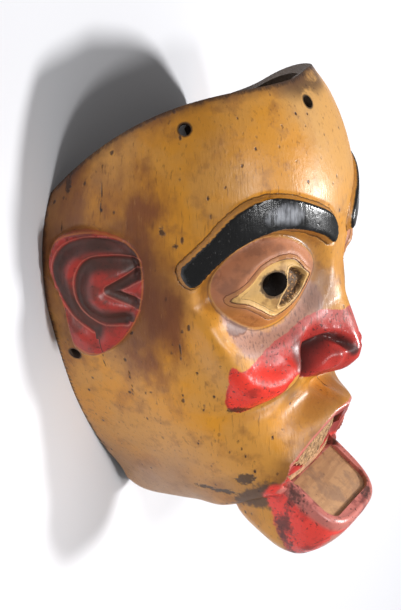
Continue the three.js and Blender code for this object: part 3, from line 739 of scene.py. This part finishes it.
def mouth_recess():
    """What is cut out between the lips, down to a back wall that curves away at the sides."""
    form = bmesh.new()
    sides, steps = np.linspace(-1, 1, 20 * FINENESS + 1), np.linspace(0, 1, 12 * FINENESS + 1)
    top = np.array(MOUTH_TOP, float)
    lowest, widest = top[-1, 1], top[:, 0].max()

    def back_wall(side, share):
        x = side * widest
        highest = between(np.abs(x), MOUTH_TOP[:-1])
        y = lowest + (highest - lowest) * share
        x = x * np.interp(y, top[::-1, 1][:2], (top[-1, 0] / widest, 1))
        z = MOUTH_BACK["z"] + MOUTH_BACK["slope"] * (y - MOUTH_BACK["y"]) - MOUTH_BACK["fall"] * x**2
        return np.stack([x, y, z], -1)

    add_sheet(form, sides, steps, back_wall)
    give(form.faces, RAW)
    raise_faces(form, form.faces[:], (0, 0, RECESS_REACH * MM))
    return form


def mouth_floor():
    """A rounded plate as deep as the lower lip is hollowed."""
    form = bmesh.new()
    size = MOUTH_FLOOR
    corners = []
    for side in (-1, 1):
        turns = np.linspace(0, math.pi / 2, 5 * FINENESS)[::-side]
        corners += [(size["front"] - size["corner"] * (1 - math.sin(t)),
                     side * (size["half_width"] - size["corner"] * (1 - math.cos(t)))) for t in turns]
    corners += [(size["back"], size["half_width"]), (size["back"], -size["half_width"])]
    verts = []
    for run, side in corners:
        x, y, z = JAW_CORNER + run * JAW_FORWARD + size["height"] * JAW_UP
        verts.append(form.verts.new(from_mask(x + side, y, z)))
    form.faces.new(verts)
    give(form.faces, RAW)
    raise_faces(form, form.faces[:], Vector(JAW_UP) * (size["top"] - size["height"]) * MM)
    return form


def place_on_head(u, y):
    """The head's point and outward direction at a distance round it and a height."""
    side = math.copysign(1, u)
    s, v = np.meshgrid(np.linspace(0.001, 0.999, 400) * side, np.linspace(0, LAST_ROW, 400))
    p = head(s, v)
    best = np.unravel_index(np.argmin(np.hypot(around(p) - abs(u), p[..., 1] - y)), s.shape)
    return p[best], head_normal(s[best], v[best])


def drill(u, y, radius, ahead=0.0, towards=None):
    """A drill along the direction out of the wood, longer than the wall is thick."""
    point, out = place_on_head(u, y)
    axis = Vector(towards) if towards else Vector(out).lerp(Vector((0, 0, 1)), ahead).normalized()
    form = bmesh.new()
    turn = Matrix.Translation(from_mask(*point)) @ axis.to_track_quat("Z", "Y").to_matrix().to_4x4()
    bmesh.ops.create_cone(form, cap_ends=True, segments=40, radius1=radius * MM, radius2=radius * MM,
                          depth=DRILL_LENGTH * MM, matrix=turn)
    give(form.faces, BARE)
    return form


def drilled_holes():
    """Each hole's kind, distance round the head, height and radius."""
    found = [("forehead", *FOREHEAD_HOLE.values())]
    for side in (-1, 1):
        for kind, hole in (("pupil", PUPIL), ("temple", TEMPLE_HOLE), ("nape", NAPE_HOLE)):
            drop = TEMPLE_DROP if kind == "temple" and side > 0 else 0
            found.append((kind, side * hole["u"], hole["y"] - drop, hole["radius"]))
    return found


def drills():
    cutters = []
    for kind, u, y, radius in drilled_holes():
        ahead = 0.5 if kind == "pupil" else 0
        towards = (math.copysign(TEMPLE_AXIS[0], u), *TEMPLE_AXIS[1:]) if kind == "temple" else None
        cutters.append(drill(u, y, radius, ahead, towards))
    return cutters


def as_object(form, name, finishes):
    mesh = bpy.data.meshes.new(name)
    for finish in finishes:
        mesh.materials.append(finish)
    form.to_mesh(mesh)
    form.free()
    return add_object(name, mesh)


def cut_or_join(piece, operation, form):
    """Applies a boolean with another closed form, which is then thrown away."""
    other = as_object(form, "cutter", piece.data.materials)
    modifier = piece.modifiers.new(operation, "BOOLEAN")
    modifier.operation = operation
    modifier.solver = "MANIFOLD"
    modifier.object = other
    bpy.context.view_layer.update()
    done = piece.evaluated_get(bpy.context.evaluated_depsgraph_get())
    mesh = bpy.data.meshes.new_from_object(done)
    piece.modifiers.clear()
    old, piece.data = piece.data, mesh
    bpy.data.meshes.remove(old)
    bpy.data.objects.remove(other)


def make_mask(finishes):
    mask = as_object(carved_shell(), "carved_mask", finishes)
    lip = as_object(lower_lip(), "lower_lip", finishes)
    cut_or_join(lip, "DIFFERENCE", closed_hollow())
    form = bmesh.new()
    form.from_mesh(lip.data)
    bpy.data.objects.remove(lip)
    cut_or_join(mask, "UNION", form)
    for cutter in [mouth_recess(), mouth_floor(), *drills()]:
        cut_or_join(mask, "DIFFERENCE", cutter)
    return mask


# What the paint and the dirt follow: a number at each vertex

# Worn bare wood under the eye, from the ball down to the red of the cheek
UNDER_EYE = curve(60, (61, -8), (58.5, -18), (54, -28), (47, -35), (38, -33), (28, -30), (19, -25),
                  (12, -20), (12, -12), (16, -8), (20, -14), (29, -22), (38, -25), (47, -22), (55, -15))
OUTLINES = dict(brow=BROW, ball=EYEBALL, almond=ALMOND, gouge=GOUGE, bare=UNDER_EYE, red=RED_CHEEK, ear=EAR)
# Cracks and knots of the wood: signed distance round (the near side is negative) and height
CRACKS = [
    [(-112.6, 46.7), (-112.3, 37.3), (-113.2, 26.6)],
    [(-135.4, 29.4), (-133.2, 18.8)],
    [(-100, -41.5), (-99.5, -46.7)],
    [(-98.4, -49.3), (-97.7, -55.4)],
    [(-76.4, -27.2), (-75.3, -34.4)],
    [(-133.6, -65.6), (-132.8, -71.1)],
    [(-110.7, -77.7), (-107.8, -89.4)],
    [(-114, -32), (-114.9, -37.7), (-113.6, -43)],
    [(5.5, -55), (3.4, -59.8), (1.3, -61.9), (0.6, -64.5)],
]
# Worn and stained patches, painted shade and a painted highlight on both sides: distance round, height and
# size both ways
PATCHES = dict(
    ear_stain=(98, -8, 26, 34),
    grey_wear=(51, -20, 7.5, 5),
    nose_shade=(26, -37, 4.5, 12),
    muzzle_shade=(24, -57, 8, 6),
    muzzle=(14, -64, 18, 12),
    nose_side_shade=(13, -12, 10, 14),
    corner_wear=(34, -103, 6, 9),
    chin_shade=(42, -99, 9, 9),
    brow_highlight=(35, 26.5, 11, 5),
    peak_dirt=(5, 73, 22, 7),
)
# Knots and deep marks: distance round, height and size both ways
KNOTS = [(-132, 38, 1.6, 3.6), (-41.7, -93.7, 2.4, 3), (-49, -103.3, 3.5, 1.1), (-43.5, -103.8, 2.6, 1.3),
         (-50, -58.8, 4.2, 1.5), (-85, 22, 0.7, 1.5), (-79, 16, 0.8, 0.9)]


def marks_distance(u, y):
    """Distance to the nearest crack, and to the nearest knot's edge."""
    crack = np.min([line_distance(u, y, line)[0] for line in CRACKS], axis=0)
    knot = np.min([(np.hypot((u - a) / w, (y - b) / h) - 1) * min(w, h) for a, b, w, h in KNOTS], axis=0)
    return crack, knot


def hole_distance(p):
    """Distance from the nearest string hole's edge, across the head."""
    found = []
    for kind, u, y, radius in drilled_holes():
        if kind != "pupil":
            found.append(np.linalg.norm(p - place_on_head(u, y)[0], axis=1) - radius)
    return np.min(found, axis=0)


def rim_distance(p):
    """Distance from the outer skin's edge."""
    s = np.linspace(-1, 1, 161)
    v = np.linspace(0, LAST_ROW, 120)
    edges = [skin(s, 0 * s), skin(0 * v - 1, v), skin(0 * v + 1, v), skin(s, 0 * s + LAST_ROW)]
    tree = KDTree(sum(len(edge) for edge in edges))
    for i, point in enumerate(np.concatenate(edges)):
        tree.insert(point, i)
    tree.balance()
    return np.array([tree.find(point)[2] for point in p])


def add_fields(piece):
    mesh = piece.data
    p = np.empty(len(mesh.vertices) * 3)
    mesh.vertices.foreach_get("co", p)
    p = p.reshape(-1, 3) / MM
    p[:, 1] += LENGTH_MIDDLE
    x, y, z = p.T
    u, ax = around(p), np.abs(x)
    turn = HEAD_RADIUS * np.arctan2(x, z)
    crack, knot = marks_distance(turn, y)
    helix, inner = ear_steps(u, y)
    lip, lip_along, in_mouth = lip_inside(x, y)
    fields = {name: outline_distance(u, y, outline) for name, outline in OUTLINES.items()}
    fields.update(
        pupil=np.hypot(u - PUPIL["u"], y - PUPIL["y"]) - PUPIL["radius"],
        helix=helix,
        inner=inner,
        notch=line_distance(u, y, EAR_NOTCH)[0],
        fold=line_distance(u, y, CHEEK_FOLD)[0],
        arch=line_distance(ax, y, NOSE_ARCH)[0],
        wing=np.hypot(ax - NOSE_WING["x"], y - NOSE_WING["y"]),
        upper_lip=np.where(in_mouth, -1, 1) * lip,
        lip_depth=between(lip_along, LIP_Z) - z,
        run=(p - JAW_CORNER) @ JAW_FORWARD,
        lip_height=(p - JAW_CORNER) @ JAW_UP,
        side=ax / FACE_HALF_WIDTH,
        up=y,
        out=z,
        crack=crack,
        knot=knot,
        hole=hole_distance(p),
        rim=rim_distance(p),
    )
    for name, (a, b, half_width, half_height) in PATCHES.items():
        fields[name] = np.hypot((u - a) / half_width, (y - b) / half_height)
    for name, values in fields.items():
        mesh.attributes.new(name, "FLOAT", "POINT").data.foreach_set("value", values.astype(np.float32))


# Finishes


def within(distance, soft=0.3):
    """1 inside an outline, 0 outside."""
    return distance.rise(soft, -soft)


def line(distance, middle, half, soft=0.25):
    """1 on a line that runs at a distance from an outline."""
    return abs(distance - middle).rise(half + soft, half - soft)


class Coats(Shader):
    """A finish in layers of colour, gloss and relief, each over the last."""

    def __init__(self, name, base, roughness):
        super().__init__(name)
        self.base, self.roughness, self.height = colour(*base), roughness, 0.5

    def over(self, cover, tint, roughness=None, raised=0.0):
        self.base = self.mix(cover, self.base, colour(*tint))
        if roughness is not None:
            self.roughness = self.roughness + cover * (roughness - self.roughness)
        if raised:
            self.height = self.height + cover * raised


def painted_wood():
    wood = Coats("painted_wood", (0.84, 0.565, 0.15), 0.38)
    brow, ball, almond, ear, red = wood.fields("brow ball almond ear red")
    side, up, out = wood.fields("side up out")
    blotch, mottle, fine = wood.grain(30, 5), wood.grain(8, 7), wood.grain(1.3, 4)
    cloud = wood.grain(17, 6, (1, 2.2, 1))
    fibre = wood.grain(1, 4, (1, 10, 1))
    ragged = (wood.grain(2.6, 6) - 0.5) * 2.4
    uneven, drift, fleck = mottle - 0.5, cloud - 0.5, fine - 0.5

    # Ochre, golden in the middle, dusty in places, browner and darker round the sides
    wood.over(blotch.rise(0.44, 0.6) * 0.7, (0.8, 0.57, 0.27))
    wood.over(cloud.rise(0.5, 0.68) * 0.6, (0.66, 0.41, 0.13))
    wood.over(mottle.rise(0.5, 0.7) * 0.45, (0.5, 0.3, 0.15))
    middle = (side + drift * 0.3).rise(0.34, 0.12) * up.rise(10, 40)
    wood.over(middle * 0.6, (0.84, 0.66, 0.42))
    wood.over((side + drift * 0.9).rise(0.68, 1) * 0.85, (0.47, 0.25, 0.13))
    top = (up + drift * 40).rise(46, 76) * side.rise(0.5, 0.8)
    wood.over(top * 0.6, (0.45, 0.25, 0.13))
    low_side = (out + uneven * 40).rise(26, 4) * up.rise(-30, 10)
    wood.over(low_side * 0.6, (0.5, 0.31, 0.18))
    low = (up + drift * 40).rise(-78, -104) * out.rise(70, 40)
    wood.over(low * 0.7, (0.62, 0.46, 0.33), 0.5)
    stained = wood.patch("ear_stain", uneven * 0.9, 1.2, 0.45)
    wood.over(stained * 0.78, (0.4, 0.22, 0.14))
    wood.over(fibre.rise(0.56, 0.74) * 0.5, (0.4, 0.23, 0.11))
    wood.over(fibre.rise(0.4, 0.24) * 0.25, (0.8, 0.6, 0.34))
    nicks = wood.spots(5.5, (1, 3.4, 1.6)) + fleck * 0.1
    wood.over(nicks.rise(0.11, 0.05) * side.rise(0.45, 0.7) * 0.85, (0.2, 0.1, 0.06), raised=-0.6)
    peak = wood.field("peak_dirt").rise(1.2, 0.3) * mottle.rise(0.34, 0.5)
    wood.over(peak * 0.8, (0.28, 0.18, 0.12))
    wood.over(wood.patch("chin_shade", ragged * 0.3, 1.1, 0.4) * 0.3, (0.4, 0.26, 0.15))
    speck = wood.spots(4.2, (1, 1.7, 1)) + fleck * 0.25
    wood.over(speck.rise(0.18, 0.08) * mottle.rise(0.45, 0.6), (0.24, 0.13, 0.08), raised=-0.3)

    # Painted shade in the creases beside the nose, under the cheekbone and inside the socket, and a darker
    # wash on the muzzle
    in_face = out.rise(30, 45)
    crease_shade = wood.patch("fold", ragged * 0.6, 3.4, 0.3)
    wood.over(crease_shade * in_face * up.rise(-66, -50) * 0.5, (0.3, 0.19, 0.12))
    shade = wood.patch("muzzle_shade", uneven * 1.5, 1, 0.2)
    wood.over(shade * in_face * 0.65, (0.42, 0.33, 0.29))
    muzzle = wood.patch("muzzle", uneven * 1.2, 1.1, 0.3)
    wood.over(muzzle * in_face * 0.6, (0.55, 0.37, 0.21))
    # painted shade inside the socket, between the brow and the ball
    socket_shade = (ball + ragged).rise(8, 0.5) * brow.rise(0, 2) * up.rise(-8, -1)
    wood.over(socket_shade * in_face * 0.6, (0.43, 0.29, 0.19))

    # Bare worn wood under the eye and the pinkish ball of the eye, ochre along its lower edge; painted shade
    # on the side of the nose and at the foot of the ball
    bare = within(wood.field("bare") + ragged * 1.6, 1.5) * in_face
    wood.over(bare * 0.85, (0.7, 0.52, 0.47), 0.5)
    wood.over(bare * fibre.rise(0.48, 0.68) * 0.65, (0.42, 0.3, 0.26))
    # painted shade on the side of the nose, next to the eye
    nose_side_shade = wood.patch("nose_side_shade", ragged * 0.3, 1.1, 0.5) * in_face
    wood.over(nose_side_shade * 0.6, (0.43, 0.29, 0.22))
    grey = wood.patch("grey_wear", ragged * 0.22, 1, 0.75) * in_face
    wood.over(grey * 0.85, (0.47, 0.34, 0.3), 0.5, raised=-0.5)
    lid = within(ball + ragged * 0.3, 0.5) * in_face
    wood.over(lid * 0.9, (0.76, 0.5, 0.36), 0.42)
    wood.over(lid * mottle.rise(0.46, 0.66) * 0.65, (0.58, 0.38, 0.28))
    lower = lid * up.rise(-7, -14) * ball.rise(-9, -3)
    wood.over(lower * 0.8, (0.74, 0.47, 0.2))
    wood.over(line(ball + ragged * 0.3, 0.2, 0.3) * in_face * 0.55, (0.82, 0.62, 0.38))
    # a dark line of painted shade where the ball meets the socket
    wood.over(line(ball + ragged * 0.4, 1.3, 0.3) * in_face * 0.5, (0.33, 0.2, 0.12))

    # The eye itself between two incised lines, with its rough hollow beside the pupil
    eye = within(almond, 0.3) * in_face
    wood.over(eye, (0.87, 0.69, 0.42), 0.5)
    wood.over(eye * mottle.rise(0.48, 0.66) * 0.7, (0.55, 0.38, 0.21))
    wood.over(line(almond, 1.1, 0.6) * in_face * 0.6, (0.74, 0.52, 0.3))
    incised = line(almond + ragged * 0.2, 0.1, 0.14, 0.22)
    incised = incised.most(line(almond + ragged * 0.3, 2, 0.1, 0.22) * 0.75)
    incised = incised.most(line(almond + ragged * 0.3, -1.9, 0.06, 0.2) * up.rise(-3, -6) * 0.6)
    wood.over(incised * in_face * 0.9, (0.27, 0.15, 0.08), 0.6, raised=-1)
    gouge = within(wood.field("gouge") + ragged * 0.8, 0.5) * in_face
    wood.over(gouge * 0.92, (0.25, 0.15, 0.08), 0.7)
    wood.over(gouge * fine.rise(0.52, 0.6), (0.7, 0.5, 0.28), raised=0.9)
    burnt = wood.patch("pupil", ragged * 1.3, 1.5, 0.3) * eye
    wood.over(burnt * 0.85, (0.2, 0.12, 0.07), 0.7, raised=-0.6)
    edge = line(wood.field("gouge") + ragged * 0.5, 0.9, 0.35) * eye
    wood.over(edge * 0.8, (0.88, 0.72, 0.48), raised=0.8)

    # Brows: black, bordered by a thin bare strip and an incised line, with a painted highlight across the
    # middle
    border = line(brow + ragged * 0.3, 0.7, 0.4) * in_face
    wood.over(border * 0.7, (0.66, 0.45, 0.22))
    wood.over(line(brow + ragged * 0.5, 1.35, 0.22) * in_face * 0.8, (0.2, 0.11, 0.06), raised=-1)
    black = within(brow + ragged * 0.15, 0.2) * in_face
    wood.over(black, (0.07, 0.07, 0.075), 0.22)
    # a painted highlight across the middle of the brow
    highlight = wood.patch("brow_highlight", uneven * 1.2, 1, 0.25)
    wood.over(black * highlight * fibre.rise(0.3, 0.62) * 0.75, (0.72, 0.73, 0.76), 0.3)
    wood.over(black * cloud.rise(0.52, 0.62) * 0.4, (0.17, 0.175, 0.19), 0.3)
    wood.over(black * fine.rise(0.62, 0.7) * 0.4, (0.3, 0.29, 0.28), 0.45)

    # Red of the nose and cheeks: pinkish where it is worn and where a painted sheen lies on its upper part,
    # lighter on the lower facet as painted light, dark where it is dirty, with painted shade over the wing
    # and beside it
    painted = within(red + ragged * 0.6, 0.4) * in_face
    wood.over(painted, (0.84, 0.2, 0.15), 0.28)
    # lighter red on the cheek's lower facet: painted light
    wood.over(painted * up.rise(-36, -46) * 0.8, (0.98, 0.26, 0.2), 0.28)
    nose = wood.field("wing").rise(19, 15)
    wood.over(painted * nose * 0.75, (0.66, 0.2, 0.18), 0.28)
    # pinkish on the upper red: wear, and a painted sheen
    wear_and_painted_light = (up + uneven * 26 + fleck * 10).rise(-43, -29) * (1 - nose * 0.95)
    wood.over(painted * wear_and_painted_light * 0.75, (0.72, 0.4, 0.38), 0.4)
    wood.over(painted * wear_and_painted_light * fibre.rise(0.5, 0.66) * 0.7, (0.42, 0.27, 0.22), 0.45)
    wood.over(painted * mottle.rise(0.55, 0.7) * 0.5, (0.48, 0.12, 0.1), 0.35)
    wood.over(painted * (red + ragged).rise(-1.6, -0.2) * up.rise(-42, -50) * 0.5, (0.36, 0.1, 0.08))
    wood.over(painted * fine.rise(0.6, 0.66) * 0.8, (0.22, 0.1, 0.09), 0.45)
    # painted shade in the arched groove over the nose's wing
    arch = wood.patch("arch", ragged * 0.3, 3.2, 0.9) * up.rise(-50, -45)
    wood.over(painted * arch * 0.9, (0.24, 0.1, 0.09), 0.4)
    valley = wood.patch("nose_shade", ragged * 0.15, 1.1, 0.35) * in_face
    wood.over(valley * 0.7, (0.33, 0.22, 0.2), 0.4)

    # Ears: dull red with painted shade in the hollows and worn, paler edges
    in_ear = within(ear + ragged * 0.25, 0.4)
    wood.over(in_ear, (0.66, 0.21, 0.18), 0.36)
    wood.over(in_ear * mottle.rise(0.46, 0.64) * 0.75, (0.38, 0.21, 0.18))
    helix, inner, notch = wood.fields("helix inner notch")
    edges, hollow_shade = line(notch + ragged * 0.2, 2.6, 0.2), notch.rise(3, 1.6)
    for groove, start in ((helix, -7.5), (inner, -7)):
        edges = edges.most(line(groove + ragged * 0.2, 2.2, 0.25))
        sunk = (groove + ragged * 0.4).rise(start, -3) * (groove + ragged * 0.2).rise(2, 1)
        hollow_shade = hollow_shade.most(sunk)
    # painted shade in the ear's grooves and notch
    wood.over(in_ear * hollow_shade * mottle.rise(0.95, 0.45) * 0.97, (0.27, 0.17, 0.14), 0.5)
    wood.over(in_ear * edges * 0.6, (0.78, 0.44, 0.38), 0.35)
    wood.over(in_ear * fine.rise(0.6, 0.68) * 0.6, (0.2, 0.12, 0.1))
    wood.over(line(ear + ragged * 0.4, -0.5, 0.35) * 0.65, (0.72, 0.42, 0.2))

    # The upper lip's thin red edge
    run, height, lip = wood.fields("run lip_height upper_lip")
    on_face = out.rise(78, 82)
    shade = (lip + ragged).rise(6, 0.8) * up.rise(-68, -74) * on_face
    wood.over(shade * 0.6, (0.36, 0.2, 0.14))
    upper = within(lip - 0.7 + ragged * 0.2, 0.3) * on_face
    wood.over(upper, (0.78, 0.45, 0.4), 0.32)
    wood.over(upper * within(lip + 0.6, 0.5), (0.6, 0.24, 0.22), 0.35)
    wood.over(upper * wood.field("lip_depth").rise(1.9, 3.2), (0.38, 0.15, 0.14), 0.5)

    # The lower lip: red outside, a pinkish worn rim, dark bare wood at its corners, dark worn patches that
    # gather on the underside as painted shade, and a painted highlight on its front
    below = height.rise(4, 2) * up.rise(-94, -97)
    corner = wood.patch("corner_wear", ragged * 0.35, 1.15, 0.8) * out.rise(58, 66)
    wood.over(corner * 0.85, (0.27, 0.2, 0.18), 0.5)
    scoop = below * (out + up * 0.27 + ragged * 2.4).rise(51.5, 54) * (run + ragged).rise(-4.5, -2.5)
    band = below * height.rise(-4.5, -1.5) * (run + ragged).rise(-1, 1)
    wood.over(scoop, (0.95, 0.29, 0.25), 0.22)
    wood.over(scoop * mottle.rise(0.5, 0.66) * 0.6, (0.5, 0.12, 0.1), 0.3)
    wood.over(band * 0.9, (0.74, 0.46, 0.42), 0.35)
    wood.over(band * mottle.rise(0.5, 0.62) * 0.7, (0.48, 0.22, 0.2), 0.4)
    # dark worn patches, with more of them towards the underside as painted shade
    wear_and_painted_light = (cloud + fleck * 0.16 + height.rise(-10, -28) * 0.12).rise(0.56, 0.64)
    wood.over(scoop * wear_and_painted_light * 0.85, (0.3, 0.2, 0.18), 0.45)
    wood.over(scoop * fine.rise(0.6, 0.67) * 0.8, (0.2, 0.12, 0.1), 0.45)
    # a painted highlight on the front of the lower lip
    lip_highlight = (run + ragged * 2).rise(29.5, 31.5) * (height + ragged * 2).rise(-22, -17) * below
    wood.over(lip_highlight * (height + ragged).rise(-4, -7) * 0.8, (0.72, 0.56, 0.5), 0.45)

    # Cracks, knots, and dirt round the holes and along the rim
    crack = wood.patch("crack", ragged * 0.3, 0.6, 0.15)
    wood.over(crack * 0.8, (0.16, 0.09, 0.06), raised=-1)
    knot = wood.patch("knot", ragged * 1.1 + fleck * 2, 0.5, -0.4)
    wood.over(knot * 0.85, (0.2, 0.13, 0.09), raised=-0.6)
    wood.over(wood.field("hole").rise(1.1, 0.2) * 0.85, (0.1, 0.06, 0.04))
    rim = wood.field("rim")
    wood.over((rim + ragged * 1.6).rise(6, 0.5) * up.rise(20, 40) * 0.6, (0.34, 0.2, 0.13), 0.5)
    wood.over((rim + ragged).rise(2.2, 0.4) * 0.85, (0.2, 0.12, 0.08), 0.6, raised=-0.8)
    height = wood.height + uneven * 0.6 + (fibre - 0.5) * 0.3
    wood.surface(wood.base, wood.roughness + uneven * 0.3, height, depth=0.36)
    return wood.material


def bare_wood():
    """The unpainted hollow, the rim and the walls of the holes."""
    wood = Coats("bare_wood", (0.34, 0.27, 0.21), 0.75)
    fibre = wood.grain(1.6, 4, (1, 8, 1))
    blotch = wood.grain(18)
    wood.over(blotch.rise(0.4, 0.65) * 0.7, (0.23, 0.17, 0.13))
    wood.over(fibre.rise(0.5, 0.7) * 0.5, (0.17, 0.12, 0.09), raised=-0.6)
    # painted shade: the walls of the pupils and of the string holes are darkened
    in_pupil = wood.field("almond").rise(0, -1) * wood.field("out").rise(60, 66)
    wood.over(in_pupil.most(wood.field("hole").rise(0.5, 0.1)) * 0.8, (0.1, 0.065, 0.045))
    wood.surface(wood.base, wood.roughness, wood.height + (fibre - 0.5) * 0.8, depth=0.6)
    return wood.material


def raw_wood():
    """The unpainted wood between the lips, dirty where it was cut roughly."""
    wood = Coats("raw_wood", (0.77, 0.6, 0.42), 0.6)
    blotch, fine, mottle = wood.grain(11, 5), wood.grain(1.5, 5), wood.grain(4, 5)
    fibre = wood.grain(1.3, 4, (12, 2, 2))
    rough = wood.patch("up", (mottle - 0.5) * 6, -99, -95)
    wood.over(fibre.rise(0.42, 0.66) * 0.5, (0.6, 0.44, 0.29))
    wood.over(blotch.rise(0.48, 0.6) * (1 - rough) * 0.7, (0.54, 0.43, 0.34))
    wood.over(mottle.rise(0.52, 0.68) * 0.35, (0.5, 0.36, 0.24))
    chips = wood.spots(3.4, (1, 1.6, 1)).rise(0.42, 0.12) * mottle.rise(0.42, 0.56)
    wood.over(chips * rough * 0.9, (0.27, 0.17, 0.1), raised=-1.5)
    wood.over(rough * fine.rise(0.52, 0.62) * 0.8, (0.68, 0.53, 0.35), raised=1)
    wood.over(fine.rise(0.64, 0.7) * 0.5, (0.25, 0.16, 0.1))
    wood.over(wood.field("lip_height").rise(-0.6, 0.4) * (1 - rough) * 0.8, (0.72, 0.5, 0.42))
    wood.surface(wood.base, wood.roughness, wood.height + (fine - 0.5) * rough * 1.5, depth=0.8)
    return wood.material


add_camera()
add_studio()
add_floor()
mask = make_mask([painted_wood(), bare_wood(), raw_wood()])
add_fields(mask)
mask.data.shade_smooth()
mask.data.set_sharp_from_angle(angle=SHARP_FOLD)
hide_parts("mask")
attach(mask, "root")
